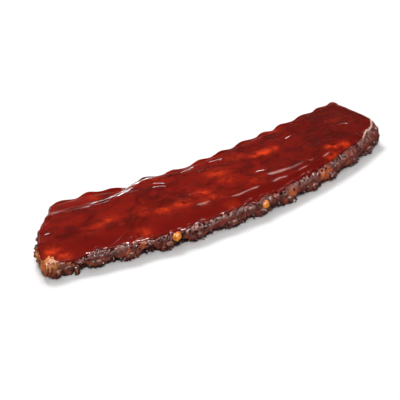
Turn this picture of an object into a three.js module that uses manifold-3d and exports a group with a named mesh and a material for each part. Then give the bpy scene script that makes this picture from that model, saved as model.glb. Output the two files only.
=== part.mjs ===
// A glazed slab of twelve pork back ribs, meat side up: one slab of meat, and the twelve bones that run through it.
// Millimetres. +X runs along the slab from its small ribs to its large ones, +Y from the bone-end edge in front to
// the loin edge behind, and +Z is up. The origin is the middle of the slab's outline, on the surface it lies on.
import * as THREE from "three";
import Module from "manifold-3d";

const wasm = await Module();
wasm.setup();

// --- Driving dimensions ---

// The two long edges: the front one bows outwards, and the back one opens into a thin flap at the small end.
const FRONT_X = [-221, 211]; // where the front edge starts and ends
const BACK_X = [-158, 214]; // where the back edge starts and ends: the sections fan out towards the small end
const FRONT_BOW = 33; // how far the front edge curves back, 200 from the middle
const FRONT_SKEW = 3.4; // how much further back it lies at the large end than in the middle
const FRONT_Y = -63; // the front edge at its foremost
const BACK_Y = 38.5; // the back edge over the middle ribs
const BACK_SPREAD = 0.1; // how much the back edge spreads for each mm towards the large end
const FLAP_REACH = 26; // how much further the flap reaches back at its corner

// Heights of the section, from front to back.
const FRONT_RIM = 17; // the top's rim over the bone ends
const PLATEAU = 23.5; // the flat of the meat
const CROWN = 2; // how much the middle of the meat rises above that
const BACK_RIM = 20.5; // the top's rim along the loin edge
const FLAP_DROP = 8; // how much lower the flap lies
const ARCH = 12.5; // the hollow under the curved bones
const PRESSED_FLAT = 4.5; // how deep the soft underside is pressed flat where it lies
const MIDDLE = 0.5; // the height of the edges' outermost line, as a share of the rim's height
const SQUARENESS = 4.5; // exponent of the section's rounded rectangle
const END_ROUNDING = [0.8, 0.94]; // how much of its size the slab keeps at its very ends, and just inside them

// The ribs, one after another along the front edge.
const FIRST_RIB_X = -207;
const RIB_PITCHES = [34, 30, 38, 31, 41, 36, 37, 38, 32, 41, 33];
const RIB_COUNT = RIB_PITCHES.length + 1;
const RIB_SWELL = 1.9; // how far each rib pushes the two edges out, and the meat between them falls short
const RIB_LIFT = 0.8; // how far each rib raises the top
const GAP_RISE = 5.5; // how much higher the meat between two ribs ends at the long edges

// The bones.
const BONE_WIDTH = 12;
const BONE_HEIGHT = 8.4;
const BONE_FLOOR = 1.8; // between the surface and a bone's end
const BONE_ARCH = 5.6; // how much each bone rises in its middle, which bares it there
const BONE_PROUD = 1.2; // how far a bone's end stands out of the meat
const KNUCKLE_WIDTH = 20; // the thick end of the first bone
const KNUCKLE_HEIGHT = 15;
const KNUCKLE_LENGTH = 15;
const CLEARANCE = 0.35; // between a bone and the meat round it

// How finely the skins are divided.
const ROWS_PER_RIB = 4;
const RING_POINTS = 34;
const BONE_SIDES = 10;
const BONE_STEPS = 8;

// --- The slab's outline and section ---

const { lerp, smoothstep, clamp } = THREE.MathUtils;

const ribX = [FIRST_RIB_X];
for (const pitch of RIB_PITCHES) ribX.push(ribX.at(-1) + pitch);

/** A rib's place along the slab, from 0 at the small end to 1 at the large one. */
const ribPlace = (rib) => (ribX[rib] - FRONT_X[0]) / (FRONT_X[1] - FRONT_X[0]);

/** Which rib lies at a place along the slab: whole numbers on the ribs, halves between two of them. */
function ribNumber(along) {
  let rib = 0;
  while (rib < RIB_COUNT - 2 && along > ribPlace(rib + 1)) rib += 1;
  return rib + (along - ribPlace(rib)) / (ribPlace(rib + 1) - ribPlace(rib));
}

/** 1 on a rib and -1 half way between two. */
const ribWave = (along) => Math.cos(2 * Math.PI * ribNumber(along));

/** How much of the flap there is: 1 at the small end, 0 from the fifth rib on. */
const flap = (along) => 1 - smoothstep(along, 0.04, 0.32);

/** The slab's front edge, and its back one, at a place along it. */
function edges(along) {
  const swell = RIB_SWELL * ribWave(along);
  const x = lerp(...FRONT_X, along);
  const bow = FRONT_Y + (FRONT_SKEW * x) / 200 + FRONT_BOW * (x / 200) ** 2;
  const backX = lerp(...BACK_X, along);
  const spread = BACK_Y + BACK_SPREAD * Math.max(0, backX) + FLAP_REACH * flap(along);
  return [new THREE.Vector2(x, bow - swell), new THREE.Vector2(backX, spread + swell)];
}

/** The height of the top at a place along the slab and a share of the way across it. */
function topHeight(along, across) {
  const front = FRONT_RIM + (PLATEAU - FRONT_RIM) * smoothstep(across, 0, 0.26);
  const back = (PLATEAU - BACK_RIM) * smoothstep(across, 0.8, 1);
  const step = FLAP_DROP * flap(along) * smoothstep(across, 0.68, 0.8);
  return front - back - step + CROWN * Math.sin(Math.PI * across) + RIB_LIFT * ribWave(along);
}

/** The height of the underside: an arch across the slab, with the meat between two ribs drawn up at the edges. */
function underHeight(along, across) {
  const drawnUp = (GAP_RISE * (1 - ribWave(along))) / 2;
  const hollow = Math.sin(Math.PI * across);
  return ARCH * hollow ** 1.5 + drawnUp * (1 - hollow) - PRESSED_FLAT;
}

/** A ring round the slab at a place along it, drawn in to share of its size about its own middle. */
function slabRing(along, share = 1) {
  const [front, back] = edges(along);
  const middle = front.clone().lerp(back, 0.5);
  const ring = [];
  for (let i = 0; i < RING_POINTS; i += 1) {
    const turn = (2 * Math.PI * i) / RING_POINTS;
    const rounded = (value) => Math.sign(value) * Math.abs(value) ** (2 / SQUARENESS);
    const across = 0.5 - rounded(Math.cos(turn)) / 2;
    const up = -rounded(Math.sin(turn));
    const top = topHeight(along, across);
    const belt = MIDDLE * top;
    const height = up > 0 ? lerp(belt, top, up) : lerp(belt, underHeight(along, across), -up);
    const plan = middle.clone().lerp(front.clone().lerp(back, across), share);
    const z = belt + (height - belt) * share;
    ring.push(new THREE.Vector3(plan.x, plan.y, Math.max(0, z)));
  }
  return ring;
}

// --- Closed skins ---

/** The flat list of a closed skin's corners: each ring joined to the next, each end closed by a fan. */
function skin(rings) {
  const points = rings.flat();
  const size = rings[0].length;
  const triangles = [];
  for (let row = 0; row + 1 < rings.length; row += 1) {
    for (let i = 0; i < size; i += 1) {
      const a = row * size + i;
      const b = row * size + ((i + 1) % size);
      triangles.push([a, b, b + size], [a, b + size, a + size]);
    }
  }
  for (const [start, turned] of [[0, true], [(rings.length - 1) * size, false]]) {
    const hub = points.push(rings[start / size].reduce((sum, p) => sum.clone().add(p)).divideScalar(size)) - 1;
    for (let i = 0; i < size; i += 1) {
      const pair = [start + i, start + ((i + 1) % size)];
      if (turned) pair.reverse();
      triangles.push([...pair, hub]);
    }
  }
  return { points, triangles };
}

/** A skin as a solid that can be cut. */
function solid({ points, triangles }) {
  const vertProperties = new Float32Array(points.flatMap((p) => p.toArray()));
  return new wasm.Manifold(new wasm.Mesh({ numProp: 3, vertProperties, triVerts: new Uint32Array(triangles.flat()) }));
}

/** A solid as a named mesh. */
function meshOf(cutSolid, name, material) {
  const { vertProperties, triVerts } = cutSolid.getMesh();
  const geometry = new THREE.BufferGeometry();
  geometry.setAttribute("position", new THREE.BufferAttribute(new Float32Array(vertProperties), 3));
  geometry.setIndex(new THREE.BufferAttribute(new Uint32Array(triVerts), 1));
  geometry.computeVertexNormals();
  const mesh = new THREE.Mesh(geometry, material);
  mesh.name = name;
  return mesh;
}

// --- The slab of meat ---

function slab() {
  const first = ribNumber(0);
  const last = ribNumber(1);
  const rows = Math.round((last - first) * ROWS_PER_RIB);
  const rings = [slabRing(0, END_ROUNDING[0]), slabRing(0.004, END_ROUNDING[1])];
  for (let row = 0; row <= rows; row += 1) {
    const rib = clamp(first + ((last - first) * row) / rows, first, last);
    const below = clamp(Math.floor(rib), 0, RIB_COUNT - 2);
    const along = lerp(ribPlace(below), ribPlace(below + 1), rib - below);
    rings.push(slabRing(clamp(along, 0.014, 0.986)));
  }
  rings.push(slabRing(0.996, END_ROUNDING[1]), slabRing(1, END_ROUNDING[0]));
  return solid(skin(rings));
}

// --- The bones ---

/** A bone as an oval tube along its own arch. Grown makes it thicker and longer all over. */
function bone(rib, grown = 0) {
  const along = ribPlace(rib);
  const [front, back] = edges(along);
  const way = back.clone().sub(front);
  const length = way.length();
  way.normalize();
  const side = new THREE.Vector2(-way.y, way.x);
  const rings = [];
  for (let step = 0; step <= BONE_STEPS; step += 1) {
    const reach = lerp(-BONE_PROUD - grown, length + BONE_PROUD + grown, step / BONE_STEPS);
    const across = clamp(reach / length, 0, 1);
    const knuckle = rib === 0 ? 1 - smoothstep(reach, 0.4 * KNUCKLE_LENGTH, KNUCKLE_LENGTH) : 0;
    const width = lerp(BONE_WIDTH, KNUCKLE_WIDTH, knuckle) / 2 + grown;
    const height = lerp(BONE_HEIGHT, KNUCKLE_HEIGHT, knuckle) / 2 + grown;
    const middle = front.clone().addScaledVector(way, reach);
    const z = BONE_FLOOR + height - grown + BONE_ARCH * Math.sin(Math.PI * across);
    const ring = [];
    for (let i = 0; i < BONE_SIDES; i += 1) {
      const turn = (2 * Math.PI * i) / BONE_SIDES;
      const out = middle.clone().addScaledVector(side, width * Math.cos(turn));
      ring.push(new THREE.Vector3(out.x, out.y, z + height * Math.sin(turn)));
    }
    rings.push(ring);
  }
  return solid(skin(rings));
}

// --- The whole rack ---

const glazedMeat = new THREE.MeshStandardMaterial({ color: 0x7a1f15, roughness: 0.25, metalness: 0 });
const roastBone = new THREE.MeshStandardMaterial({ color: 0xc98a4b, roughness: 0.5, metalness: 0 });

let meat = slab();
const parts = [];
for (let rib = 0; rib < RIB_COUNT; rib += 1) {
  meat = meat.subtract(bone(rib, CLEARANCE));
  parts.push(meshOf(bone(rib), `rib_${String(rib + 1).padStart(2, "0")}`, roastBone));
}
parts.unshift(meshOf(meat, "meat", glazedMeat));

const rack = new THREE.Group();
rack.add(...parts);
const box = new THREE.Box3().setFromObject(rack);
const centre = box.getCenter(new THREE.Vector3());
rack.position.set(-centre.x, -centre.y, -box.min.z);

export default rack;
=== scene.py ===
"""A glazed slab of twelve pork back ribs, lying meat side up. Shapes are worked out in millimetres."""

import math

import bmesh
import bpy
import numpy as np
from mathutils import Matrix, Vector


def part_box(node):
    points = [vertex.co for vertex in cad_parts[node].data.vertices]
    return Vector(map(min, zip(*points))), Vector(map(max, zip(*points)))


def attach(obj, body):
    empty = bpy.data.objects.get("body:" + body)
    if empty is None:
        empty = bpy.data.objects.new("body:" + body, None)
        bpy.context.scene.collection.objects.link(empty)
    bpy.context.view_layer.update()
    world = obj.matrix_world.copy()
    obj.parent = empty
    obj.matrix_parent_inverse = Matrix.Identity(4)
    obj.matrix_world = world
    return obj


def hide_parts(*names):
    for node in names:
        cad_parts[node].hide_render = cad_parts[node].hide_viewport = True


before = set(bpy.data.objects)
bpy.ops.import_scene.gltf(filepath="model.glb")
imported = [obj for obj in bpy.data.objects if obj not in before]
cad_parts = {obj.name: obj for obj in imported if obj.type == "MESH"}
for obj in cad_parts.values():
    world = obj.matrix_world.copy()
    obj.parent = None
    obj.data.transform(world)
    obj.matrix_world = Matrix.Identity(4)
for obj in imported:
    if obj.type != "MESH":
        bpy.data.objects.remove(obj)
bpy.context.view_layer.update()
MM = 0.001


# ---- The meat ------------------------------------------------------------------------------------
# One slab of roast pork, with its bones running across it. Its cut edges are rough bark: torn fibres baked
# dark, with sugar from the glaze boiled into small craters where the glaze ends. Underneath it is drier and
# smoother, with the bones bared in grooves.

RIB_NAMES = [f"rib_{number:02d}" for number in range(1, 13)]
RIBS = len(RIB_NAMES)
RIB_SPACING, SLAB_WIDTH = 34.0, 100.0  # middling sizes, for turning rib numbers and shares across into mm
BONE_HALF = 6.0  # half a bone's width
KNUCKLE_HALF = 10.0  # half the width of the first bone's thick end
BONE_PROUD = 1.2  # how far a bone's end stands out of the edge

FRONT_RIM, PLATEAU, CROWN, BACK_RIM = 17.0, 23.1, 1.2, 20.9  # heights of the top, from front to back
SHOULDER = 0.176  # how far across the slope up from the front rim ends
BACK_SLOPE = 0.86  # how far across the slope down to the back rim starts
FOLD_DROP = 1.15  # how much lower the top lies in front of the long fold
FOLD_ACROSS, FOLD_CURVE, FOLD_RIB = 0.204, 0.036, 7.9  # its foremost place, its curve and the rib there
FLAP_DROP = 8.0  # how much lower the thin flap behind the small end lies
APRON = 1.5  # how much of that the meat slopes down before the step
FLAP_ACROSS = 0.64  # how far across the flap's step starts at the small end
ARCH = 12.5  # the hollow underneath
PRESSED_FLAT = 4.5  # how deep the soft underside is pressed flat where it lies
GAP_RISE = 8.5  # how much higher the underside's edges are between two ribs
GROOVE = 2.0  # how much higher the meat lies over a bared bone
DRAWN_IN = 4.6  # how far the back edge lies inside the bones' CAD ends, but at the flap's corner
SCALLOP = 1.8  # how much further it falls back between two ribs
CORNER_BULGE = 9.0  # how far the front half of the small end stands out

# Stretches along the slab: the rib numbers where each begins and where it is whole.
CALM_FRONT = (3.8, 4.8)  # the front of the top is smoother from here on
WIDE_SHOULDER = (5.2, 4.4)  # the front slope is wider before here
FOLD_STARTS, FOLD_ENDS = (6.2, 6.8), (9.3, 8.8)
FLAP_ENDS = (2.5, 3.1)

SQUARENESS = 4.5  # exponent of the section's rounded rectangle
CRISPNESS = 9.0  # the same along the back rim, which was cut and hardly rounded
FIRST, LAST = -0.17, 11.75  # rib numbers where the two ends' rounding starts
END_DEPTH = 0.15  # how far it reaches, in rib spacings
MEAT_ROWS, MEAT_COLUMNS, CAP_ROWS = 560, 146, 40


def smooth_line(values, at):
    """The natural cubic spline through values at 0, 1, 2 and so on, going on straight beyond its ends."""
    count = len(values)
    bend = np.zeros_like(values)
    matrix = 4 * np.eye(count - 2) + np.eye(count - 2, k=1) + np.eye(count - 2, k=-1)
    bend[1:-1] = np.linalg.solve(matrix, 6 * (values[:-2] - 2 * values[1:-1] + values[2:]))
    at = np.asarray(at, float)
    inside = np.clip(at, 0, count - 1)
    left = np.clip(np.floor(inside).astype(int), 0, count - 2)
    far = inside - left
    near = 1 - far
    a, b = bend[left] / 6, bend[left + 1] / 6
    value = near * values[left] + far * values[left + 1] + (near**3 - near) * a + (far**3 - far) * b
    slope = values[left + 1] - values[left] - (3 * near**2 - 1) * a + (3 * far**2 - 1) * b
    return value + slope * (at - inside)


def step(value, start, end):
    """0 before start and 1 after end, with the smooth cubic 3t2 - 2t3 between."""
    share = np.clip((value - start) / (end - start), 0, 1)
    return share * share * (3 - 2 * share)


def noise(points, size, seed):
    """Gradient noise, about -1 to 1: at each corner of a grid of size mm, a random direction times the way
    to it, blended with the quintic fade."""
    rng = np.random.default_rng(seed)
    order = rng.permutation(512)
    order = np.concatenate([order, order, order])
    slopes = rng.normal(size=(512, 3))
    slopes /= np.linalg.norm(slopes, axis=1, keepdims=True)
    scaled = points / size + 100.37
    cell = np.floor(scaled).astype(int)
    part = scaled - cell
    fade = part**3 * (part * (part * 6 - 15) + 10)
    total = np.zeros(points.shape[:-1])
    for corner in np.ndindex(2, 2, 2):
        x, y, z = (cell[..., axis] + corner[axis] & 511 for axis in range(3))
        slope = slopes[order[order[order[x] + y] + z]]
        share = np.prod(np.where(corner, fade, 1 - fade), -1)
        total += share * np.sum(slope * (part - corner), -1)
    return 1.6 * total


def line_noise(rib, size, seed):
    """Noise along the slab only, with size in mm."""
    return noise(np.stack([rib * RIB_SPACING, 0 * rib, 0 * rib], -1), size, seed)


# The middles of the bones' two ends, from their boxes in the frame and from how far each bone is turned.
bone_low = np.array([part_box(name)[0] for name in RIB_NAMES]) / MM
bone_high = np.array([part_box(name)[1] for name in RIB_NAMES]) / MM
bone_span = bone_high - bone_low
bone_cos = bone_span[:, 1] / np.hypot(bone_span[:, 0] - 2 * BONE_HALF, bone_span[:, 1])
bone_sin = np.sqrt(1 - bone_cos**2)
front_half = np.where(np.arange(RIBS) == 0, KNUCKLE_HALF, BONE_HALF)
front_x = bone_low[:, 0] + front_half * bone_cos
front_y = bone_low[:, 1] + BONE_PROUD * bone_cos + front_half * bone_sin
back_x = bone_high[:, 0] - BONE_HALF * bone_cos
back_y = bone_high[:, 1] - BONE_PROUD * bone_cos - BONE_HALF * bone_sin
front_ends, back_ends = np.stack([front_x, front_y], 1), np.stack([back_x, back_y], 1)


def slab_edges(rib):
    """The slab's front and back edge at a rib number, as splines through the bones' ends."""
    front = [smooth_line(front_ends[:, axis], rib) for axis in (0, 1)]
    back = [smooth_line(back_ends[:, axis], rib) for axis in (0, 1)]
    return np.stack(front, -1), np.stack(back, -1)


def top_height(rib, across):
    """The top's height: a slope up from the front rim, a crowned flat, a slope down to the back and a step
    to the flap, whose line runs from the middle of the small end out to the back edge over the fourth rib.
    The front slope is wider at the small end. Over the seventh to tenth ribs a low fold follows a parabola.
    Slow swells of noise, and a slight rise over each rib near both edges, are added, and are weaker on the
    smooth stretch of the front."""
    smooth = step(rib, *CALM_FRONT)
    shoulder = SHOULDER + 0.012 * line_noise(rib, 45, 45) + 0.07 * step(rib, *WIDE_SHOULDER)
    shoulder = shoulder + 0.028 * np.exp(-(((rib - 6.4) / 0.35) ** 2)) - 0.02 * step(rib, 6.8, 7.2)
    fold = FOLD_DROP * step(rib, *FOLD_STARTS) * step(rib, *FOLD_ENDS)
    fold_at = FOLD_ACROSS + FOLD_CURVE * (rib - FOLD_RIB) ** 2
    front = FRONT_RIM + (PLATEAU - FRONT_RIM) * step(across, -0.01, shoulder)
    front -= fold * step(across, fold_at + 0.03, fold_at - 0.03)
    back = (PLATEAU - BACK_RIM) * step(across, BACK_SLOPE, 1)

    reach = np.clip((rib - 1) / 1.9, 0, 2) ** 2.2
    line = FLAP_ACROSS + (1 - FLAP_ACROSS) * reach + 0.012 * line_noise(rib, 26, 41)
    apron = APRON * np.clip((across - line) / 0.08 + 1, 0, 1)
    flap = (1 - step(rib, *FLAP_ENDS)) * (apron + (FLAP_DROP - APRON) * step(across, line, line + 0.05))

    where = np.stack([rib * RIB_SPACING, across * SLAB_WIDTH, 0 * rib], -1)
    swells = 1.0 * noise(where * [0.6, 1, 1], 34, 42) + 0.55 * noise(where * [0.7, 1, 1], 17, 43)
    swells = swells * (1 - 0.65 * smooth * (1 - step(across, 0.24, 0.36)))
    ribbed = 0.9 * (1 - 0.65 * smooth) * (1 - step(across, 0, 0.3)) + 1.0 * step(across, 0.84, 1)
    ribbed = ribbed * np.cos(2 * np.pi * rib)
    return front - back - flap + CROWN * np.sin(np.pi * across) + swells * step(across, 0, 0.15) + ribbed


def under_height(rib, across):
    """The underside's height: a sine arch across, drawn up at the edges between two ribs, with the bones
    bared in shallow grooves."""
    hollow = np.sin(np.pi * np.clip(across, 0, 1))
    drawn_up = GAP_RISE * (1 - np.cos(2 * np.pi * rib)) / 2
    grooves = GROOVE * np.exp(-(((rib - np.round(rib)) / 0.2) ** 4)) * step(hollow, 0.45, 0.8)
    return ARCH * hollow**1.5 + drawn_up * (1 - hollow) - PRESSED_FLAT + grooves


def rounded(value):
    """A sine or cosine raised to 2/SQUARENESS with its sign kept: this turns a circle into a rounded
    square."""
    return np.sign(value) * np.abs(value) ** (2 / SQUARENESS)


def slab_point(rib, turn, share):
    """A point of the plain slab. turn goes round the section: 0 at the front edge, pi/2 on top, pi at the
    back edge. share draws the whole section in about its own middle, as it is towards the two ends. The
    edges are drawn in between two ribs, the front one mostly below the glaze and the back one all the way
    up. The back edge is also drawn in all along, but at the flap's corner. The front half of the small end
    bulges out."""
    front, back = slab_edges(rib)
    across = 0.5 - rounded(np.cos(turn)) / 2
    up = rounded(np.sin(turn))
    crisp = (1 - np.clip(2 * across - 1, 0, 1) ** CRISPNESS) ** (1 / CRISPNESS)
    up = np.where(up > 0, np.where(across > 0.5, crisp, up), up)
    top = top_height(rib, across)
    belt = 0.5 * top
    height = np.where(up > 0, belt + (top - belt) * up, belt + (belt - under_height(rib, across)) * up)
    middle = (front + back) / 2
    plan = middle + (front + (back - front) * across[..., None] - middle) * share[..., None]

    gap = (1 - np.cos(2 * np.pi * rib)) / 2
    front_pull = (1.6 + 3.0 * gap) * np.clip(1 - across / 0.10, 0, 1) ** 2 * (0.55 - 0.5 * up)
    uneven = 1 + 0.8 * line_noise(rib, 60, 44)
    drawn_in = DRAWN_IN * (step(rib, 2.7, 3.2) + step(rib, 1.3, 0.5))
    back_pull = (SCALLOP * uneven * gap - 0.4 + drawn_in) * np.clip(1 - (1 - across) / 0.2, 0, 1) ** 2
    plan[..., 1] += (front_pull - back_pull) * share
    bulge = step(across, 0.66, 0.4) * (0.4 + 0.6 * step(across, 0, 0.2)) * step(rib, 0.35, -0.15)
    plan[..., 0] -= CORNER_BULGE * bulge
    return np.concatenate([plan, np.maximum(0, belt + (height - belt) * share)[..., None]], -1)


def along(place):
    """Rib number and share of full size at a place along the slab: -1 to 0 is the first end, from its
    middle out to its rim, 0 to 1 is the slab, and 1 to 2 the last end. Both ends are quarter turns of the
    same rounded square."""
    over = np.clip(np.maximum(-place, place - 1), 0, 1) * np.pi / 2
    body = FIRST + (LAST - FIRST) * np.clip(place, 0, 1)
    push = END_DEPTH * rounded(np.sin(over))
    return np.where(place < 0.5, body - push, body + push), rounded(np.cos(over))


# Lengths round a middling section, which turns round the section are dealt out by.
fine_turn = np.linspace(0, 2 * np.pi, 4001)
MIDDLING_RIB = 5.0
section = slab_point(np.full_like(fine_turn, MIDDLING_RIB), fine_turn, np.ones_like(fine_turn))
section_mm = np.concatenate([[0], np.cumsum(np.linalg.norm(np.diff(section, axis=0), axis=1))])
BACK_MM = np.interp(np.pi, fine_turn, section_mm)  # from the front edge over the top to the back edge


def turns(count, weight):
    """count turns round the section, as many to each millimetre as weight, a function of the turn, says."""
    length = np.gradient(section_mm, fine_turn)
    total = np.concatenate([[0], np.cumsum((length * weight(fine_turn))[1:])])
    return np.interp(np.linspace(0, total[-1], count + 1)[:-1], total, fine_turn)


def cells(points, size, seed):
    """Distances, in cell sizes, to the nearest and the second nearest of points, one to a cube of size
    mm."""
    rng = np.random.default_rng(seed)
    order = rng.permutation(512)
    order = np.concatenate([order, order, order])
    strewn = rng.random((512, 3))
    scaled = points / size + 100.37
    cell = np.floor(scaled).astype(int)
    nearest = np.full(points.shape[:-1], 9.0)
    second = nearest.copy()
    for shift in np.ndindex(3, 3, 3):
        x, y, z = (cell[..., axis] + shift[axis] - 1 & 511 for axis in range(3))
        away = cell + np.array(shift) - 1 + strewn[order[order[order[x] + y] + z]] - scaled
        distance = np.linalg.norm(away, axis=-1)
        second = np.minimum(second, np.maximum(nearest, distance))
        nearest = np.minimum(nearest, distance)
    return nearest, second


def outward(grid, closed):
    """Unit normals of a grid of points, from the cross product of its slopes along the slab and round
    it."""
    wide = np.concatenate([grid[:, -1:], grid, grid[:, :1]], 1) if closed else grid
    round_it = np.gradient(wide, axis=1)
    round_it = round_it[:, 1:-1] if closed else round_it
    normal = np.cross(np.gradient(grid, axis=0), round_it)
    return normal / np.maximum(np.linalg.norm(normal, axis=-1, keepdims=True), 1e-9)


def glaze_front(rib):
    """How far from the front edge, in mm up round the section, the glaze ends. It hangs low at the small
    end, ends well up the slope towards the large one, and wavers."""
    waver = 1.6 * line_noise(rib, 30, 62) + 1.7 * line_noise(rib, 9, 63) + 0.8 * line_noise(rib, 4, 66)
    climb = 5.5 * step(rib, 3.5, 9.0) + 5 * step(rib, 10.4, 11.1) + 9 * step(rib, 11.4, 11.9)
    return 7.0 + climb - 3.5 * step(rib, 1.3, 0.2) + 7.0 * step(rib, 0.2, -0.3) + waver


def glaze_back(rib):
    """The same for the back edge, where the glaze rolls a little way down the side."""
    return BACK_MM - 5.5 + 1.8 * line_noise(rib, 24, 64) + 1.8 * line_noise(rib, 8, 65)


def quads(rows, columns, wrap=False):
    """Faces between neighbouring rows of a grid, with its last column joined to its first if wrap is
    set."""
    row, column = np.mgrid[0 : rows - 1, 0 : columns - (0 if wrap else 1)]
    here = row * columns + column
    beside = row * columns + (column + 1) % columns
    return np.stack([here, here + columns, beside + columns, beside], -1).reshape(-1, 4)


def tube(grid):
    """A closed skin from a grid of rings: the points, and the faces with a fan at each end."""
    rows, columns = grid.shape[:2]
    points = np.concatenate([grid.reshape(-1, 3), [grid[0].mean(0)], [grid[-1].mean(0)]])
    ring = np.arange(columns)
    first = np.stack([ring, np.roll(ring, -1), np.full(columns, rows * columns)], -1)
    last = np.stack([np.roll(ring, -1), ring, np.full(columns, rows * columns + 1)], -1)
    last[:, :2] += (rows - 1) * columns
    return points, [quads(rows, columns, True), first, last]


def mesh_piece(name, points, faces, fields=None):
    """A smooth-shaded mesh object from points in mm, a list of face arrays, and fields of a number per
    point."""
    mesh = bpy.data.meshes.new(name)
    mesh.from_pydata(np.asarray(points) * MM, [], [face for part in faces for face in part.tolist()])
    mesh.polygons.foreach_set("use_smooth", np.ones(len(mesh.polygons), bool))
    for field, values in (fields or {}).items():
        numbers = np.ravel(values).astype(np.float32)
        mesh.attributes.new(field, "FLOAT", "POINT").data.foreach_set("value", numbers)
    piece = bpy.data.objects.new(name, mesh)
    bpy.context.scene.collection.objects.link(piece)
    return piece


def patches(points, spots):
    """The strongest at each point of soft round patches, each (x, y, z, radius, strength) in mm."""
    total = np.zeros(points.shape[:-1])
    for x, y, z, radius, strength in spots:
        away = np.linalg.norm(points - [x, y, z], axis=-1) / radius
        total = np.maximum(total, strength * np.exp(-(away**2)))
    return total


def colour(code):
    """An sRGB hex colour as linear red, green, blue and an alpha of 1."""
    value = np.array([int(code[i : i + 2], 16) for i in (1, 3, 5)]) / 255
    linear = np.where(value <= 0.04045, value / 12.92, ((value + 0.055) / 1.055) ** 2.4)
    return (*linear.tolist(), 1.0)


def add(tree, kind, inputs=None, **settings):
    """Adds a shader node of a kind with its settings. Each input is a number, a colour or another node's
    output. A mix of colours takes its share at input 0 and the colours at 6 and 7, and gives the mixed one at
    output 2."""
    made = tree.nodes.new("ShaderNode" + kind)
    for name, value in settings.items():
        setattr(made, name, value)
    for name, value in (inputs or {}).items():
        if isinstance(value, bpy.types.NodeSocket):
            tree.links.new(value, made.inputs[name])
        else:
            made.inputs[name].default_value = value
    return made


EASED = {"interpolation_type": "SMOOTHSTEP"}  # for a range node that bends gently into its two ends


def new_finish(name, sockets):
    """A new material, its node tree and its shader, with the shader's own sockets set."""
    made = bpy.data.materials.new(name)
    made.use_nodes = True
    surface = made.node_tree.nodes["Principled BSDF"]
    for socket, value in sockets.items():
        surface.inputs[socket].default_value = value
    return made, made.node_tree, surface


# Where rendered fat browns the bark: x, y, z, radius and strength of each patch.
AMBER_PATCHES = [
    (-210, -22, 10, 12, 1.0), (-196, -36, 7, 9, 0.8), (-176, -42, 4, 6, 0.5), (-141, -50, 5, 6, 0.9),
    (-129, -52, 12, 6, 0.8), (-106, -56, 4, 5, 0.9), (-98, -58, 13, 6, 0.5), (-72, -60, 9, 5, 0.4),
    (-30, -64, 8, 6, 0.5), (45, -62, 9, 9, 0.75), (97, -54, 10, 8, 1.0), (104, -52, 15, 6, 0.9),
    (122, -50, 9, 6, 0.5), (140, -45, 8, 7, 0.5), (188, -30, 9, 9, 0.4), (213, -8, 9, 9, 0.4),
    (-190, 12, 8, 9, 0.5), (-160, 55, 6, 8, 0.4), (-60, 40, 9, 8, 0.5), (30, 44, 9, 8, 0.6),
    (110, 52, 9, 8, 0.5), (180, 58, 9, 8, 0.5),
]


def dealt(turn):
    """How closely the bark's columns stand: closest on the front side, then the back one, widest on top."""
    front_side, back_side = np.cos(turn) > 0.5, np.cos(turn) < -0.55
    return np.where(front_side, 2.4, np.where(back_side, 1.6, np.where(np.sin(turn) > 0, 0.3, 0.55)))


def meat_mesh():
    """The slab with its bark: places along it times turns round it, pushed out along the normal by noise. A
    band below the glaze's front rim is pocked by cells, with walls that stand up and pits between them.
    Under the glaze the meat is sunk, underneath it is nearly smooth, and the large end is stained."""
    cap = np.linspace(-1, 0, CAP_ROWS + 1)[1:-1]
    place = np.concatenate([cap, np.linspace(0, 1, MEAT_ROWS), 1 - cap[::-1]])
    rib, share = along(place)

    turn = turns(MEAT_COLUMNS, dealt)
    ring_mm = np.interp(turn, fine_turn, section_mm)[None]
    rib, turn, share = np.broadcast_arrays(rib[:, None], turn[None], share[:, None])
    plain = slab_point(rib, turn, share)
    normal = outward(plain, True)

    under = step(-np.sin(turn), 0.5, 0.95)
    inside = np.minimum(ring_mm - glaze_front(rib), glaze_back(rib) - ring_mm)
    over = step(inside, 1.0, 4.0) * step(share, 0.84, 0.92)
    band = np.exp(-(((ring_mm - glaze_front(rib) + 1.0) / 3.4) ** 2)) * (ring_mm < BACK_MM / 2)
    lumps = noise(plain, 9, 1) * 1.0 + noise(plain, 4.5, 2) * 0.9
    fibres = noise(plain * [1, 1, 0.45], 2.2, 3) * 0.5
    torn = 1 - np.abs(noise(plain, 3.4, 4)) * 2
    bark = lumps + fibres + 0.5 * torn
    nearest, second = cells(plain, 5.0, 5)
    wall_and_sheen = np.exp(-(((second - nearest) / 0.15) ** 2))
    pit_and_shade = step(0.52 - nearest, 0, 0.18)
    band = band * step(line_noise(rib, 20, 8) + 0.5 * noise(plain, 9, 9), -0.5, 0.1)
    craters = band * (1.0 * wall_and_sheen - 1.8 * pit_and_shade)
    soft = noise(plain, 14, 6) * 0.5 + noise(plain * [1, 0.4, 1], 5, 7) * 0.3
    push = (1 - over) * ((1 - under) * (0.85 * bark + craters) + under * soft) - over * 0.8
    moved = plain + normal * push[..., None]
    moved[..., 2] = np.maximum(moved[..., 2], 0)
    points, faces = tube(moved)

    def field(values):
        return np.concatenate([np.ravel(values), [values[0, 0], values[-1, 0]]])

    fields = {
        # The crater walls' field paints a sheen, and the pits' field paints shade, into the bark's colour.
        "wall_and_sheen": field(band * wall_and_sheen * (1 - over)),
        "pit_and_shade": field(band * pit_and_shade),
        "raised": field(np.clip(0.5 + 0.28 * push, 0, 1)),
        "under": field(under),
        "amber": field(patches(plain, AMBER_PATCHES)),
        "stained": field(0.5 * step(rib, 10.9, 11.6) * (1 - under)),
    }
    return mesh_piece("meat_bark", points, faces, fields)


meat = meat_mesh()
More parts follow.
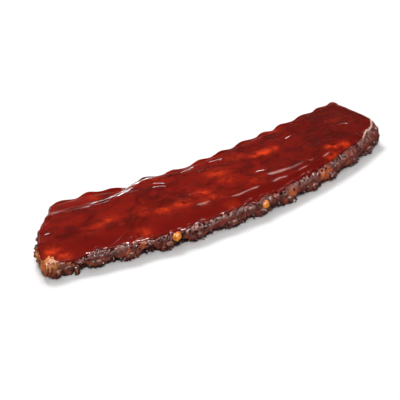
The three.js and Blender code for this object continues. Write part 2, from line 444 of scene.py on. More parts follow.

# Roast pork bark: dry browned fibre that the sauce has stained. It is darker low down and lighter and redder
# high up, which is painted shade in its hollows, nearly black in its pits as painted shade, pale pink on its
# crater walls as a painted sheen, with amber where fat has rendered, and a thin wet coat over all of it.
# Texture scales count patches to the metre: the blotches are about 6 mm across and the grain is 1.4 mm.
bark_wet = {"Roughness": 0.45, "Specular IOR Level": 0.35, "Coat Weight": 0.25, "Coat Roughness": 0.15}
bark_finish, tree, shader = new_finish("roast_pork_bark", bark_wet)
place = add(tree, "TexCoord").outputs["Object"]
blotches = add(tree, "TexNoise", {"Vector": place, "Scale": 160, "Detail": 4}).outputs["Fac"]
grain = add(tree, "TexNoise", {"Vector": place, "Scale": 700, "Detail": 3}).outputs["Fac"]
raised, pit_and_shade, wall_and_sheen, under, fatty, stained = (
    add(tree, "Attribute", attribute_name=field).outputs["Fac"]
    for field in ("raised", "pit_and_shade", "wall_and_sheen", "under", "amber", "stained")
)
# Darker low down and lighter high up on the bark: painted shade in its hollows.
height_shading_range = {"Value": raised, "From Min": 0.25, "From Max": 0.9}
height_shading = add(tree, "MapRange", height_shading_range, **EASED).outputs["Result"]
shade = add(tree, "Mix", {0: height_shading, 6: colour("#5e271b"), 7: colour("#9e4f3e")}, data_type="RGBA")
ruddy_range = {"Value": blotches, "From Min": 0.5, "From Max": 0.7}
ruddy = add(tree, "MapRange", ruddy_range, **EASED).outputs["Result"]
uneven = add(tree, "Math", {0: blotches, 1: fatty}, operation="ADD").outputs[0]
glowing_range = {"Value": uneven, "From Min": 0.75, "From Max": 1.15}
glowing = add(tree, "MapRange", glowing_range, **EASED).outputs["Result"]
# Nearly black in the pits is painted shade, and pale pink on the crater walls is a painted sheen.
for share, code in ((ruddy, "#a23320"), (glowing, "#d9652a"), (pit_and_shade, "#140605"), (wall_and_sheen, "#cc9488")):
    shade = add(tree, "Mix", {0: share, 6: shade.outputs[2], 7: colour(code)}, data_type="RGBA")
mottle_range = {"Value": blotches, "From Min": 0.35, "From Max": 0.65}
mottle = add(tree, "MapRange", mottle_range, **EASED).outputs["Result"]
below = add(tree, "Mix", {0: mottle, 6: colour("#582414"), 7: colour("#8c4a2e")}, data_type="RGBA")
shade = add(tree, "Mix", {0: under, 6: shade.outputs[2], 7: below.outputs[2]}, data_type="RGBA")
shade = add(tree, "Mix", {0: stained, 6: shade.outputs[2], 7: colour("#6e1a14")}, data_type="RGBA")
bump = add(tree, "Bump", {"Height": grain, "Strength": 0.5, "Distance": 0.0006})
tree.links.new(shade.outputs[2], shader.inputs["Base Color"])
tree.links.new(bump.outputs["Normal"], shader.inputs["Normal"])
meat.data.materials.append(bark_finish)
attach(meat, "root")
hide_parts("meat")


# ---- The glaze -----------------------------------------------------------------------------------
# Barbecue sauce brushed on in coats and set to a thick shining skin. It lies over the whole top and rolls
# over the edges, where it ends in a round wavy rim with a few drips. It pools in hollows and ridges where
# it ran.

GLAZE_ROWS, GLAZE_COLUMNS, INNER_COLUMNS = 620, 128, 8
GLAZE_THICK = 1.1
GLAZE_SUNK = 1.6  # how far its underside lies within the meat's plain surface
RIM_WIDTH = 2.2  # over how many mm the rim rounds down
ENDS_ROWS = 0.025  # the share of its rows that lies on each end's rounding
DRIPS = 4.5  # how far the longest drips run down the front side

# Where sauce ran and set in low ridges: each a line of (rib number, share of the way across), a height and
# a half width in mm. The last one lies along the flap's step.
RUNS = [
    ([(6.3, 0.353), (6.75, 0.304)], 0.5, 1.4),
    ([(9.33, 0.275), (9.65, 0.285), (9.96, 0.314)], 0.6, 1.2),
    ([(4.68, 0.03), (4.9, 0.045)], 0.7, 1.1),
    ([(5.35, 0.061), (5.7, 0.073)], 0.7, 1.1),
    ([(6.45, 0.04), (6.8, 0.045)], 0.7, 1.1),
    ([(8.2, 0.186), (8.75, 0.155)], 0.8, 1.2),
    ([(1.33, 0.041), (1.7, 0.076), (2.02, 0.14)], 0.7, 1.2),
    ([(1.24, 0.03), (1.5, 0.026)], 0.9, 1.7),
    ([(2.98, 0.681), (3.47, 0.64)], 0.8, 1.2),
    ([(3.04, 0.757), (3.47, 0.689)], 0.6, 1.2),
    ([(4.23, 0.787), (4.68, 0.808)], 0.8, 1.2),
    ([(5.2, 0.793), (5.74, 0.755)], 0.8, 1.2),
    ([(-0.32, 0.47), (-0.05, 0.5)], 0.9, 1.2),
    ([(-0.4, 0.35), (-0.2, 0.43)], 0.9, 1.2),
    ([(-0.16, 0.294), (0.0, 0.304)], 0.7, 1.2),
    ([(1.0, 0.60), (2.0, 0.665)], 0.6, 1.6),
    ([(10.3, 0.42), (10.8, 0.35)], 0.5, 1.4),
    ([(8.2, 0.62), (9.0, 0.66)], 0.5, 1.4),
    (
        [(0.2, 0.632), (0.64, 0.634), (1.1, 0.637), (1.63, 0.66), (2.05, 0.718), (2.41, 0.808), (2.7, 0.9)],
        0.4,
        2.0,
    ),
]


def runs(rib, across):
    """The height of the runs: along each piece of a line, a bell of the distance from it, fading at the
    ends."""
    here = np.stack([rib * RIB_SPACING, across * SLAB_WIDTH], -1)
    total = np.zeros(rib.shape)
    for line, height, half_wide in RUNS:
        line = np.array(line) * [RIB_SPACING, SLAB_WIDTH]
        length = np.concatenate([[0], np.cumsum(np.linalg.norm(np.diff(line, axis=0), axis=1))])
        ridge = np.zeros(rib.shape)
        for start, end, first, last in zip(line[:-1], line[1:], length[:-1], length[1:]):
            way = (end - start) / (last - first)
            passed = np.clip((here - start) @ way, 0, last - first)
            away = np.linalg.norm(here - start - passed[..., None] * way, axis=-1)
            at = (first + passed) / length[-1]
            taper = (4 * at * (1 - at)) ** 0.4
            ridge = np.maximum(ridge, height * taper * np.exp(-((away / half_wide) ** 2)))
        total = np.maximum(total, ridge)
    return total


def glaze_grid():
    """Rib numbers, turns and shares of full size, on a grid from the glaze's front rim to its back one. It
    ends raggedly on both ends of the slab, and drips run down the front side from its rim."""
    rows, columns = np.linspace(0, 1, GLAZE_ROWS), np.linspace(0, 1, GLAZE_COLUMNS + 1)
    row, column = np.meshgrid(rows, columns, indexing="ij")
    ragged = column * 110 / RIB_SPACING
    first = -0.40 + 0.12 * line_noise(ragged, 15, 71) + 0.10 * line_noise(ragged, 5, 72)
    last = 1.36 + 0.12 * line_noise(ragged, 15, 73) + 0.06 * line_noise(ragged, 5, 74)
    body = (row - ENDS_ROWS) / (1 - 2 * ENDS_ROWS)
    place = np.where(row < ENDS_ROWS, first * (1 - row / ENDS_ROWS), body)
    place = np.where(row > 1 - ENDS_ROWS, last + (1 - last) * (1 - row) / ENDS_ROWS, place)
    rib, share = along(place)
    drips = DRIPS * np.maximum(0, line_noise(rib, 11, 61) - 0.25) * (1 - step(rib, 9, 10))
    front_mm, back_mm = glaze_front(rib) - drips, glaze_back(rib)
    eased = column - 0.05 * np.sin(2 * np.pi * column)
    return rib, np.interp(front_mm + (back_mm - front_mm) * eased, section_mm, fine_turn), share


def glaze_height(plain, rib, across):
    """How far the glaze stands out of the slab: a thickness that is fuller just inside the rims and rounds
    down to them by a quarter circle, with swells and ripples of noise, calmer on the front, and the runs
    added."""
    across_mm = np.cumsum(np.linalg.norm(np.diff(plain, axis=1, prepend=plain[:, :1]), axis=-1), axis=1)
    along_mm = np.cumsum(np.linalg.norm(np.diff(plain, axis=0, prepend=plain[:1]), axis=-1), axis=0)
    rim_across = np.minimum(across_mm, across_mm[:, -1:] - across_mm)
    rim = np.minimum(rim_across, np.minimum(along_mm, along_mm[-1:] - along_mm))
    thick = GLAZE_THICK + 0.5 * np.exp(-(((rim - 2.4) / 1.8) ** 2))
    rounding = np.sqrt(np.clip(1 - (1 - np.clip(rim / RIM_WIDTH, 0, 1)) ** 2, 0, 1))
    long_way = plain * [0.45, 1, 1]
    ripples = 0.24 * noise(long_way, 11, 22) + 0.10 * noise(long_way, 5, 23) + 0.03 * noise(plain, 2.4, 24)
    calm = step(across, 0.34, 0.26) * step(rib, *CALM_FRONT)
    swell = 0.36 * noise(long_way, 24, 21) * (1 - 0.5 * calm) + ripples * (1 - 0.7 * calm)
    uneven = step(rim, 0.5, 6) * swell + step(rim, 0, 2) * runs(rib, across)
    return (thick + GLAZE_SUNK) * rounding - GLAZE_SUNK + uneven


def glaze_underside(number, inner):
    """Faces that close the glaze from below: the inner grid's own, and at each end a row of fans that joins
    the outer grid's many points to the inner one's few. number and inner hold the two grids' point
    numbers."""
    under = np.stack([inner[:-1, :-1], inner[:-1, 1:], inner[1:, 1:], inner[1:, :-1]], -1).reshape(-1, 4)
    columns, knots = np.arange(GLAZE_COLUMNS), np.arange(INNER_COLUMNS)
    each = GLAZE_COLUMNS // INNER_COLUMNS
    near = (columns + each // 2) // each
    middle = each * knots + each // 2
    faces = [under]
    for row_at, order in ((0, 1), (-1, -1)):
        line, few = number[row_at], inner[row_at]
        outer_fan = np.stack([line[columns], line[columns + 1], few[near]], -1)
        inner_fan = np.stack([few[knots + 1], few[knots], line[middle]], -1)
        fans = np.concatenate([outer_fan, inner_fan])[:, ::order]
        # A fan whose inner corner is the rim's own point has no area, and is left out.
        whole = (fans[:, 0] != fans[:, 1]) & (fans[:, 1] != fans[:, 2]) & (fans[:, 2] != fans[:, 0])
        faces.append(fans[whole])
    return faces


# Where the glaze lies thin over fat: x, y, z, radius and strength of each patch.
THIN_PATCHES = [
    (55, 2, 24, 5, 0.8), (67, 0, 24, 5.5, 1.0), (76, 1, 24, 4, 0.7), (34, 11, 24, 6, 0.5),
    (-3, -6, 24, 7, 0.65), (-4, -22, 24, 6, 0.45), (-42, -28, 24, 5, 0.75), (-41, -42, 24, 6, 0.5),
    (-68, -33, 24, 6, 0.6), (-89, -31, 24, 6, 0.5), (-105, -22, 24, 6, 0.5), (-123, -46, 20, 5, 0.7),
    (-139, -15, 23, 5.5, 0.45), (-150, -16, 23, 5, 0.35), (-206, -24, 18, 4.5, 1.0), (-199, -32, 17, 4, 0.75),
    (-138, -53, 18, 4, 0.9), (-30, -58, 20, 5, 0.4), (130, -32, 22, 4.5, 1.0), (146, -35, 22, 4.5, 0.95),
    (119, -45, 20, 5, 0.85), (20, -40, 24, 6, 0.3), (-60, 20, 24, 6, 0.25), (110, 38, 23, 6, 0.3),
    (180, 12, 23, 5, 0.2), (-120, 40, 18, 6, 0.25), (150, 60, 22, 6, 0.3),
]
PATCH_SHAPE = [0.6, 1, 0.3]  # each patch is longer along the slab and deeper than it is wide


def thin_glaze(plain):
    """How thin the glaze is: the patches, broken up by noise."""
    spots = np.array(THIN_PATCHES)
    spots[:, :3] *= PATCH_SHAPE
    mottle = 0.7 + 0.8 * noise(plain * [0.7, 1, 1], 6, 51) + 0.6 * noise(plain, 3, 52)
    return np.clip(1.15 * patches(plain * PATCH_SHAPE, spots) * mottle, 0, 1)


def dull_glaze(rib, across):
    """1 where the glaze is kept from shining: along the back rim, on the flap's rim and at the small end of
    the flap's step, where the low strips behind would otherwise draw a white line."""
    back_rim = step(across, 0.82, 0.86) * step(rib, 2.9, 3.3)
    flap_step = step(rib, 1.25, 0.85) * np.exp(-(((across - 0.66) / 0.07) ** 4))
    flap_rim = step(rib, 2.5, 2.2) * step(across, 0.84, 0.88)
    return np.clip(back_rim + flap_step + flap_rim, 0, 1)


def glaze_mesh():
    """A closed skin over the top: an outer grid that stands out of the slab, and an inner one a little
    under the meat's surface. The inner grid keeps every row but few columns, and shares the outer one's
    rims."""
    rib, turn, share = glaze_grid()
    across = 0.5 - rounded(np.cos(turn)) / 2
    plain = slab_point(rib, turn, share)
    normal = outward(plain, False)
    skin = plain + normal * glaze_height(plain, rib, across)[..., None]
    pick = np.linspace(0, GLAZE_COLUMNS, INNER_COLUMNS + 1).astype(int)
    inside = (plain - normal * GLAZE_SUNK)[:, pick[1:-1]]
    number = np.arange(rib.size).reshape(rib.shape)
    inside_number = rib.size + np.arange(inside[..., 0].size).reshape(inside.shape[:2])
    inner = np.concatenate([number[:, :1], inside_number, number[:, -1:]], 1)
    points = np.concatenate([skin.reshape(-1, 3), inside.reshape(-1, 3)])
    # The glaze is darker towards the large end and the back edge.
    dark = step(rib, 6, 10) * (1 - 0.5 * step(across, 0.3, 0.1)) + 0.6 * step(across, 0.9, 1)

    def field(values):
        return np.concatenate([np.ravel(values), np.zeros(inside_number.size)])

    fields = {
        "across": field(across),
        "thin": field(thin_glaze(plain)),
        "dark": field(np.clip(dark, 0, 1)),
        "dull": field(dull_glaze(rib, across)),
    }
    return mesh_piece("glaze", points, [quads(*rib.shape), *glaze_underside(number, inner)], fields)


glaze = glaze_mesh()

# Set barbecue glaze: tomato, sugar and smoke in a thick clear-topped skin. It is nearly black-red where it
# is deep, red over meat, and glows orange where it lies thin over fat. It is cloudy over about 17 mm, with
# flecks of 5 mm.
glaze_finish, tree, shader = new_finish("set_barbecue_glaze", {"IOR": 1.47})
place = add(tree, "TexCoord").outputs["Object"]
long_way = add(tree, "Mapping", {"Vector": place, "Scale": (0.75, 1.0, 1.0)}).outputs["Vector"]
coarse = {"Vector": long_way, "Scale": 60, "Detail": 5, "Roughness": 0.65, "Distortion": 0.8}
broad = add(tree, "TexNoise", coarse).outputs["Fac"]
small = add(tree, "TexNoise", {"Vector": long_way, "Scale": 190, "Detail": 4}).outputs["Fac"]
across, thin, dark, dull = (
    add(tree, "Attribute", attribute_name=field).outputs["Fac"]
    for field in ("across", "thin", "dark", "dull")
)
deep_range = {"Value": broad, "From Min": 0.35, "From Max": 0.62}
deep = add(tree, "MapRange", deep_range, **EASED).outputs["Result"]
shade = add(tree, "Mix", {0: deep, 6: colour("#5c120c"), 7: colour("#84190f")}, data_type="RGBA")
fleck_range = {"Value": small, "From Min": 0.52, "From Max": 0.75, "To Max": 0.6}
fleck = add(tree, "MapRange", fleck_range).outputs["Result"]
# Deeper red on the front slope is painted shade, standing in for the mirrored light that the flat top
# catches.
front_shade_range = {"Value": across, "From Min": 0.22, "From Max": 0.1, "To Max": 0.7}
front = add(tree, "MapRange", front_shade_range, **EASED).outputs["Result"]
darker = add(tree, "Math", {0: dark, 1: 0.45}, operation="MULTIPLY").outputs[0]
for share, code in ((fleck, "#551612"), (front, "#78120c"), (darker, "#4a0f0b"), (thin, "#da3c18")):
    shade = add(tree, "Mix", {0: share, 6: shade.outputs[2], 7: colour(code)}, data_type="RGBA")
tree.links.new(shade.outputs[2], shader.inputs["Base Color"])
matt = add(tree, "MapRange", {"Value": dull, "To Min": 0.12, "To Max": 0.3}).outputs["Result"]
shine = add(tree, "MapRange", {"Value": dull, "To Min": 0.5, "To Max": 0.0}).outputs["Result"]
tree.links.new(matt, shader.inputs["Roughness"])
tree.links.new(shine, shader.inputs["Specular IOR Level"])
glaze.data.materials.append(glaze_finish)
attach(glaze, "root")


# ---- The burnt sugar -----------------------------------------------------------------------------
# Sauce that boiled along the glaze's rims left beads and burst bubbles of dark caramel, hard and shining.
# Each bead is a low dome sunk in the surface, and each burst bubble is a small ring standing round its
# hole. Round the front corner of the large end the bubbles set in a line of froth, pale as a painted
# highlight.

BEADS = 900  # beads and burst bubbles together, before the thinning between their clusters
HIGHLIGHT_FROTH = 210  # bubbles in the line of froth


def ball(cuts):
    """A unit ball of near-even triangles: an icosahedron's faces split cuts times."""
    shape = bmesh.new()
    bmesh.ops.create_icosphere(shape, subdivisions=cuts, radius=1)
    points = np.array([vertex.co for vertex in shape.verts])
    faces = np.array([[vertex.index for vertex in face.verts] for face in shape.faces])
    shape.free()
    return points, faces


def ring(round_it, through):
    """A unit ring with a thickness of 0.3: one circle carried round another."""
    long_way = np.linspace(0, 2 * np.pi, round_it, endpoint=False)
    short_way = np.linspace(0, 2 * np.pi, through, endpoint=False)
    a, b = np.meshgrid(long_way, short_way, indexing="ij")
    reach = 1 + 0.3 * np.cos(b)
    points = np.stack([reach * np.cos(a), reach * np.sin(a), 0.3 * np.sin(b)], -1).reshape(-1, 3)
    row, column = np.mgrid[0:round_it, 0:through]
    corners = [(row, column), (row + 1, column), (row + 1, column + 1), (row, column + 1)]
    faces = np.stack([(r % round_it) * through + c % through for r, c in corners], -1).reshape(-1, 4)
    return points, faces


def strewn(shape, centres, upward, sizes, seed, rough=0.0):
    """Copies of one shape: each scaled by sizes, turned so its own z is upward and spun at random, and
    moved to its centre. rough pushes its points in and out by noise."""
    points, faces = shape
    rng = np.random.default_rng(seed)
    spin = rng.normal(size=centres.shape)
    side = np.cross(upward, spin)
    side /= np.linalg.norm(side, axis=1, keepdims=True)
    axes = np.stack([side, np.cross(upward, side), upward], 1)
    scaled = points[None] * sizes[:, None, :]
    if rough:
        apart = rng.random((len(centres), 1, 3)) * 500
        scaled = scaled * (1 + rough * noise(points[None] * 3 + apart, 2.4, seed))[..., None]
    placed = np.einsum("nij,nki->nkj", axes, scaled) + centres[:, None]
    count = len(points)
    every = faces[None] + count * np.arange(len(centres))[:, None, None]
    return placed.reshape(-1, 3), every.reshape(-1, faces.shape[1])


def joined(shapes):
    """Several shapes as one: all their points, their faces renumbered, and the number of each one's first
    point."""
    starts = np.cumsum([0] + [len(points) for points, _ in shapes])
    faces = [own + start for (_, own), start in zip(shapes, starts)]
    return np.concatenate([points for points, _ in shapes]), faces, starts


def on_slab(rib, turn):
    """Points of the plain slab and its outward normals there, from small differences either way."""
    whole = np.ones_like(rib)
    plain = slab_point(rib, turn, whole)
    by_rib = slab_point(rib + 0.02, turn, whole) - slab_point(rib - 0.02, turn, whole)
    by_turn = slab_point(rib, turn + 0.01, whole) - slab_point(rib, turn - 0.01, whole)
    normal = np.cross(by_rib, by_turn)
    return plain, normal / np.linalg.norm(normal, axis=1, keepdims=True)


def sugar_mesh():
    """Beads and rings strewn along the front rim, thinner along the back, and froth as a painted highlight.
    """
    rng = np.random.default_rng(11)
    rib = rng.uniform(FIRST, LAST, BEADS)
    # They gather in clusters, so the ones that fall where a slow noise is low are dropped.
    rib = rib[line_noise(rib, 16, 81) > rng.uniform(-0.9, 0.4, BEADS)]
    back = rng.random(len(rib)) < 0.25
    spread = rng.normal(0, 1, len(rib))
    mm = np.where(back, glaze_back(rib) + 1 + 1.5 * spread, glaze_front(rib) - 0.8 + 2.6 * spread)
    plain, normal = on_slab(rib, np.interp(mm, section_mm, fine_turn))
    size = rng.uniform(0.45, 1.25, len(rib)) ** 1.3
    burst = rng.random(len(rib)) < 0.4
    places, upward, sizes = plain[~burst], normal[~burst], size[~burst, None]
    beads = strewn(ball(2), places + upward * 0.7, upward, sizes * [1, 1, 0.75], 12, 0.15)
    places, upward, sizes = plain[burst], normal[burst], size[burst, None]
    rings = strewn(ring(12, 6), places + upward * 1.1, upward, sizes * [1.15, 1.15, 1.2], 13)

    # A line of froth along the large end's front rim, pale as a painted highlight on the glaze's edge.
    rib = rng.uniform(10.8, 11.78, HIGHLIGHT_FROTH)
    mm = glaze_front(rib) + 0.3 + 0.4 * rng.normal(size=HIGHLIGHT_FROTH)
    places, upward = on_slab(rib, np.interp(mm, section_mm, fine_turn))
    sizes = rng.uniform(0.35, 0.75, (HIGHLIGHT_FROTH, 1)) * [1.0, 1.0, 1.2]
    highlight_froth = strewn(ring(12, 6), places + 1.7 * upward, upward, sizes, 14)

    points, faces, starts = joined([beads, rings, highlight_froth])
    number = np.arange(len(points))
    # pale marks the froth, whose pale colour is a painted highlight.
    fields = {"burst": number >= starts[1], "pale": number >= starts[2]}
    return mesh_piece("burnt_sugar", points, faces, fields)


sugar = sugar_mesh()

# Burnt sugar: black-brown caramel in patches of 5 mm, hard and glassy. The burst rings are pinkish, a painted
# sheen on their rims, and the froth rings are pale, a painted highlight.
sugar_finish, tree, shader = new_finish("burnt_caramel", {"Roughness": 0.15, "IOR": 1.5})
place = add(tree, "TexCoord").outputs["Object"]
patchy = add(tree, "TexNoise", {"Vector": place, "Scale": 220, "Detail": 2}).outputs["Fac"]
burst, pale = (
    add(tree, "Attribute", attribute_name=field).outputs["Fac"] for field in ("burst", "pale")
)
shade = add(tree, "Mix", {0: patchy, 6: colour("#1c0806"), 7: colour("#6a2018")}, data_type="RGBA")
# Pinkish on the burst rings is a painted sheen, and pale on the froth a painted highlight.
for share, code in ((burst, "#9c584e"), (pale, "#dcb0a2")):
    shade = add(tree, "Mix", {0: share, 6: shade.outputs[2], 7: colour(code)}, data_type="RGBA")
tree.links.new(shade.outputs[2], shader.inputs["Base Color"])
sugar.data.materials.append(sugar_finish)
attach(sugar, "root")


# ---- The torn meat -------------------------------------------------------------------------------
# Shreds and lumps of meat that the knife and the fire left hanging on the cut edges: round the bones' ends,
# on the thick corner, where one big knob has turned golden, and on both ends of the slab.

# Where single lumps hang: x, y, z and radius.
LUMPS = [
    (-199, -34, 5, 6), (-190, -37, 4.5, 4.5), (-209, -35, 5, 5), (-211, -13, 9, 5), (-209, -5, 10, 4.5),
    (-192, -41, 3, 3), (-206, 2, 13, 2.8), (-199, 11, 14, 3), (-208, -4, 15, 2.6), (-191, 18, 14, 2.4),
    (-183, 27, 13, 2.6), (-177, 35, 9, 2.6), (-165, 50, 7, 2.6), (215, -8, 11, 5), (206, -20, 10, 5),
    (211, -14, 6, 4), (199, -27, 8, 4), (212, 20, 8, 4), (210, 40, 9, 4),
]
FRONT_LUMPS, BACK_LUMPS = 5, 3  # small ones round each bone's two ends
KNOB = (-208, -26.5, 10)
KNOB_SIZE = (10, 9, 8.5)
SHREDS = 420
GOLDEN_PATCHES = [(-212, -27, 15, 9.5, 1.5), (-210, -10, 11, 7, 0.8), (-196, -42, 5, 4, 0.4)]


def corner_knob():
    """A ball stretched to the knob's size, pushed in and out by noise and by sharp folds along its
    fibres."""
    around, faces = ball(5)
    folds = 1 - 2 * np.abs(noise(around * [1.5, 1.5, 0.6], 0.5, 37))
    uneven = 0.2 * noise(around, 0.9, 35) + 0.08 * folds + 0.05 * noise(around * [1, 1, 0.4], 0.2, 36)
    return around * (1 + uneven)[:, None] * KNOB_SIZE + KNOB, faces


def torn_mesh():
    """Rough balls at set places and round each bone's ends, short tapered shreds that lean out and down,
    and the knob. It is golden near the thick corner, less so towards the bottom."""
    rng = np.random.default_rng(31)
    spots = np.array(LUMPS, float)
    back_edge = slab_point(np.arange(float(RIBS)), np.full(RIBS, np.pi), np.ones(RIBS))[:, :2]
    ends = np.concatenate([np.repeat(front_ends, FRONT_LUMPS, 0), np.repeat(back_edge, BACK_LUMPS, 0)])
    count = len(ends)
    outside = np.where(np.arange(count) < FRONT_LUMPS * RIBS, -1, 1)
    along_edge = ends[:, 0] + rng.normal(0, 4.5, count)
    out_of_edge = ends[:, 1] + outside * rng.uniform(-1.5, 0.6, count)
    places = np.stack([along_edge, out_of_edge, rng.uniform(1.5, 8.5, count)], 1)
    centres = np.concatenate([spots[:, :3], places])
    small = rng.uniform(1.0, 2.4, (count, 1)) * [1.3, 0.9, 0.8]
    sizes = np.concatenate([spots[:, 3:] * [1, 0.8, 0.7], small])
    tilt = rng.normal(size=centres.shape)
    tilt /= np.linalg.norm(tilt, axis=1, keepdims=True)
    lumps = strewn(ball(4), centres, tilt, sizes, 32, 0.45)

    front = rng.random(SHREDS) < 0.72
    rib = rng.uniform(FIRST, LAST, SHREDS)
    front_turn = -0.1 - np.abs(rng.normal(0, 0.45, SHREDS))
    back_turn = np.pi + 0.1 + np.abs(rng.normal(0, 0.4, SHREDS))
    plain, normal = on_slab(rib, np.where(front, front_turn, back_turn) % (2 * np.pi))
    lean = normal + [0, 0, -0.5] + rng.normal(0, 0.5, normal.shape)
    lean /= np.linalg.norm(lean, axis=1, keepdims=True)
    length = rng.uniform(1.5, 3.6, SHREDS)[:, None]
    tufts = strewn(ball(2), plain + lean * length * 0.25, lean, length * [0.22, 0.3, 1.0], 33, 0.35)

    points, faces, _ = joined([lumps, tufts, corner_knob()])
    points[:, 2] = np.maximum(points[:, 2], 0.05)
    golden = np.clip(patches(points, GOLDEN_PATCHES), 0, 1)
    golden = golden * (0.15 + 0.85 * step(points[:, 2] + 2 * noise(points, 4, 38), 3, 9))
    return mesh_piece("torn_meat", points, faces, {"golden": golden})


torn = torn_mesh()

# Torn roast pork: mottled dark and red-brown over 4 mm, and streaked gold, in strands of about 1 mm, where
# the fat of the thick corner crisped.
torn_wet = {"Roughness": 0.4, "Coat Weight": 0.3, "Coat Roughness": 0.12}
torn_finish, tree, shader = new_finish("torn_roast_pork", torn_wet)
place = add(tree, "TexCoord").outputs["Object"]
patchy = add(tree, "TexNoise", {"Vector": place, "Scale": 240, "Detail": 4}).outputs["Fac"]
golden = add(tree, "Attribute", attribute_name="golden").outputs["Fac"]
mottle_range = {"Value": patchy, "From Min": 0.35, "From Max": 0.68}
mottle = add(tree, "MapRange", mottle_range, **EASED).outputs["Result"]
fibre_way = add(tree, "Mapping", {"Vector": place, "Scale": (1.0, 0.8, 0.3)}).outputs["Vector"]
strands = add(tree, "TexNoise", {"Vector": fibre_way, "Scale": 800, "Detail": 3}).outputs["Fac"]
streaks_range = {"Value": strands, "From Min": 0.4, "From Max": 0.6}
streaks = add(tree, "MapRange", streaks_range, **EASED).outputs["Result"]
brown = add(tree, "Mix", {0: mottle, 6: colour("#45140c"), 7: colour("#8e3828")}, data_type="RGBA")
gold = add(tree, "Mix", {0: streaks, 6: colour("#b84c1c"), 7: colour("#ffac60")}, data_type="RGBA")
shade = add(tree, "Mix", {0: golden, 6: brown.outputs[2], 7: gold.outputs[2]}, data_type="RGBA")
bump = add(tree, "Bump", {"Height": patchy, "Strength": 0.6, "Distance": 0.0008})
tree.links.new(shade.outputs[2], shader.inputs["Base Color"])
tree.links.new(bump.outputs["Normal"], shader.inputs["Normal"])
torn.data.materials.append(torn_finish)
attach(torn, "root")


# ---- The bones -----------------------------------------------------------------------------------
# Twelve rib bones, flattened ovals that arch across the slab. Their ends show at both long edges and their
# lower sides show bare underneath. Roasting has browned them, and two tips of cartilage shine amber in
# front.

BONE_FLOOR = 2.0  # between the surface and a bone's end
BONE_HALF_HIGH, KNUCKLE_THICKER = 4.2, 3.3  # half a bone's height, and how much more the knuckle's is
BONE_ARCH = 5.6  # how much each bone rises in its middle
BACK_SHORTER = 4.2  # how much shorter a bone is at the back than in the CAD, to stay in the drawn-in edge
FULL_LENGTH = (1, 2)  # the bones at the flap's corner, where the edge isn't drawn in
BONE_ROWS, BONE_COLUMNS = 60, 28


def bone_mesh(number):
    """An oval carried along its own arch, rounded off at both ends by the same rounded square, with slight
    noise. It is bare away from its ends."""
    start, end = front_ends[number], back_ends[number]
    way = end - start
    way = way / np.linalg.norm(way)
    length = np.linalg.norm(end - start) - (0 if number in FULL_LENGTH else BACK_SHORTER)
    ahead = np.linspace(0, np.pi, BONE_ROWS + 2)[1:-1]
    reach = length / 2 - (length / 2 + BONE_PROUD) * rounded(np.cos(ahead))
    thick = rounded(np.sin(ahead))
    knuckle = (1 - step(reach, 6, 15)) * (number == 0)
    half = BONE_HALF + (KNUCKLE_HALF - BONE_HALF) * knuckle
    high = BONE_HALF_HIGH + KNUCKLE_THICKER * knuckle
    turn = -np.linspace(0, 2 * np.pi, BONE_COLUMNS, endpoint=False)
    middle_z = BONE_FLOOR + high + BONE_ARCH * np.sin(np.pi * np.clip(reach / length, 0, 1))
    side = np.array([way[1], -way[0]])
    out = (half * thick)[:, None, None] * np.cos(turn)[None, :, None] * side
    plan = (start + reach[:, None] * way)[:, None] + out
    height = middle_z[:, None] + (high * thick)[:, None] * np.sin(turn)[None]
    grid = np.concatenate([plan, height[..., None]], -1)
    centre = grid.mean(1, keepdims=True)
    rough = 1 + 0.05 * noise(grid, 6, 90 + number) + 0.03 * noise(grid, 2.5, 120 + number)
    grid = centre + (grid - centre) * rough[..., None]
    bare = np.broadcast_to(step(np.minimum(reach, length - reach), 14, 26)[:, None], grid.shape[:2])
    points, faces = tube(grid)
    return mesh_piece(f"bone_{number + 1:02d}", points, faces, {"bare": np.append(bare, [0, 0])})


# Roasted rib bone: porous and pale where it is bare underneath, browned and stained by sauce at its ends, in
# patches of 7 mm.
bone_finish, tree, shader = new_finish("roasted_bone", {"Roughness": 0.4})
place = add(tree, "TexCoord").outputs["Object"]
stain = add(tree, "TexNoise", {"Vector": place, "Scale": 140, "Detail": 5}).outputs["Fac"]
bare = add(tree, "Attribute", attribute_name="bare").outputs["Fac"]
stained = add(tree, "Mix", {0: stain, 6: colour("#5c2416"), 7: colour("#a4583c")}, data_type="RGBA")
pale = add(tree, "Mix", {0: stain, 6: colour("#74341f"), 7: colour("#c88e68")}, data_type="RGBA")
shade = add(tree, "Mix", {0: bare, 6: stained.outputs[2], 7: pale.outputs[2]}, data_type="RGBA")
tree.links.new(shade.outputs[2], shader.inputs["Base Color"])
for number, name in enumerate(RIB_NAMES):
    bone = bone_mesh(number)
    bone.data.materials.append(bone_finish)
    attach(bone, "root")
    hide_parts(name)


RIB_TIPS = [(-96, -60, 11.8, 4.4), (7.5, -65, 11.8, 4.1)]  # x, y, z and radius of the two tips


def tips_mesh():
    """Two slightly uneven balls of cartilage, half sunk in the front edge."""
    around, faces = ball(5)
    places = np.array(RIB_TIPS)
    uneven = 1 + 0.2 * noise(around, 0.8, 95) + 0.06 * noise(around, 0.3, 96)
    shape = around * [1.05, 0.8, 0.95] * uneven[:, None]
    points = shape[None] * places[:, None, 3:] + places[:, None, :3]
    every = faces[None] + len(around) * np.arange(len(places))[:, None, None]
    return mesh_piece("rib_tips", points.reshape(-1, 3), [every.reshape(-1, 3)])


tips = tips_mesh()

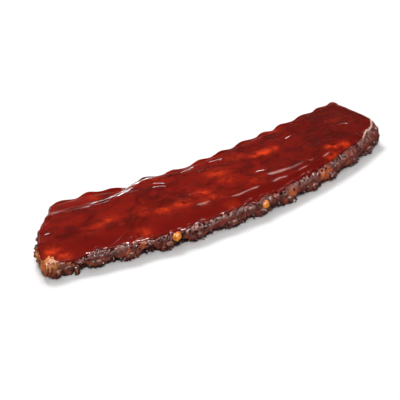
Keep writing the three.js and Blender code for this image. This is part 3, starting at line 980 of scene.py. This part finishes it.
# Rib cartilage: smooth and wet, roasted to a clear amber with browner patches of 4 mm.
tip_finish, tree, shader = new_finish("roasted_cartilage", {"Roughness": 0.2})
place = add(tree, "TexCoord").outputs["Object"]
stain = add(tree, "TexNoise", {"Vector": place, "Scale": 260, "Detail": 3}).outputs["Fac"]
browned_range = {"Value": stain, "From Min": 0.42, "From Max": 0.62}
browned = add(tree, "MapRange", browned_range, **EASED).outputs["Result"]
shade = add(tree, "Mix", {0: browned, 6: colour("#ffa030"), 7: colour("#d06018")}, data_type="RGBA")
tree.links.new(shade.outputs[2], shader.inputs["Base Color"])
tips.data.materials.append(tip_finish)
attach(tips, "root")


# ---- Floor, light and camera ---------------------------------------------------------------------
# A plain pale floor under soft studio light. The key stands high behind, a broad softbox nearly overhead
# and a small one in front, so the front edge lies in soft shade and the floor lights it from below. The
# reflectors and strips light nothing: each is only mirrored, and draws one set of highlights on the glaze
# for the front camera.

FLOOR = 4  # metres from its middle to each side
floor_mesh = bpy.data.meshes.new("floor")
corners = [(-FLOOR, -FLOOR, 0), (FLOOR, -FLOOR, 0), (FLOOR, FLOOR, 0), (-FLOOR, FLOOR, 0)]
floor_mesh.from_pydata(corners, [], [(0, 1, 2, 3)])
floor = bpy.data.objects.new("floor", floor_mesh)
bpy.context.scene.collection.objects.link(floor)
# Matt white paint: pale and evenly rough, with hardly any shine.
paint = {"Base Color": colour("#eeeeee"), "Roughness": 0.8, "Specular IOR Level": 0.1}
floor_finish, tree, shader = new_finish("matt_white_paint", paint)
floor_mesh.materials.append(floor_finish)
floor.visible_glossy = False

world = bpy.data.worlds.new("studio")
world.use_nodes = True
sky = world.node_tree.nodes["Background"]
sky.inputs["Color"].default_value = (0.9, 0.95, 1.0, 1)
sky.inputs["Strength"].default_value = 0.03
bpy.context.scene.world = world


def softbox(name, azimuth, height, away, wide, tall, watts, shine=True, light=True, tint=(1, 1, 1)):
    """A rectangular lamp facing the slab, from an azimuth counted from +X towards +Y and a height angle,
    both in degrees, and a distance and sizes in metres. Without shine it lights but isn't mirrored, and
    without light it is only mirrored."""
    lamp = bpy.data.lights.new(name, "AREA")
    lamp.shape = "RECTANGLE"
    lamp.size, lamp.size_y, lamp.energy, lamp.color = wide, tall, watts, tint
    stand = bpy.data.objects.new(name, lamp)
    a, h = math.radians(azimuth), math.radians(height)
    stand.location = (away * math.cos(h) * math.cos(a), away * math.cos(h) * math.sin(a), away * math.sin(h))
    stand.rotation_euler = (math.radians(90) - h, 0, a + math.radians(90))
    stand.visible_glossy = shine
    stand.visible_diffuse = light
    bpy.context.scene.collection.objects.link(stand)


# Each lamp's azimuth, height angle, distance, width, height and watts.
softbox("key_softbox", 75, 50, 3.0, 1.4, 0.9, 74, shine=False)
softbox("fill_softbox", 60, 80, 3.0, 3.0, 3.0, 34, shine=False)
softbox("front_softbox", 231, 58, 3.0, 0.8, 0.35, 36)
softbox("high_reflector", 25, 48, 3.0, 0.62, 0.26, 3.2, light=False, tint=(1.0, 0.7, 0.64))
softbox("left_reflector", 78, 36, 3.0, 0.6, 0.3, 2.4, light=False)
softbox("back_strip", 62, 8, 2.2, 1.0, 0.16, 4.8, light=False)
softbox("right_strip", 37, 3, 2.2, 0.38, 0.15, 4, light=False)
softbox("corner_reflector", 245, 61, 3.0, 0.25, 0.5, 130, light=False)
softbox("rim_reflector", 305, 52, 3.0, 0.3, 0.4, 60, light=False)

CAMERA_AT = (-0.5963, -0.7132, 0.4949)  # metres
LOOKS_DOWN, HEADING = 28.434, -38.91  # degrees
lens = bpy.data.cameras.new("camera")
lens.sensor_width, lens.lens = 36, 94.4
lens.clip_start, lens.clip_end = 0.01, 50
camera = bpy.data.objects.new("camera", lens)
camera.location = CAMERA_AT
camera.rotation_euler = (math.radians(90 - LOOKS_DOWN), 0, math.radians(HEADING))
bpy.context.scene.collection.objects.link(camera)
bpy.context.scene.camera = camera
bpy.context.scene.view_settings.view_transform = "Standard"
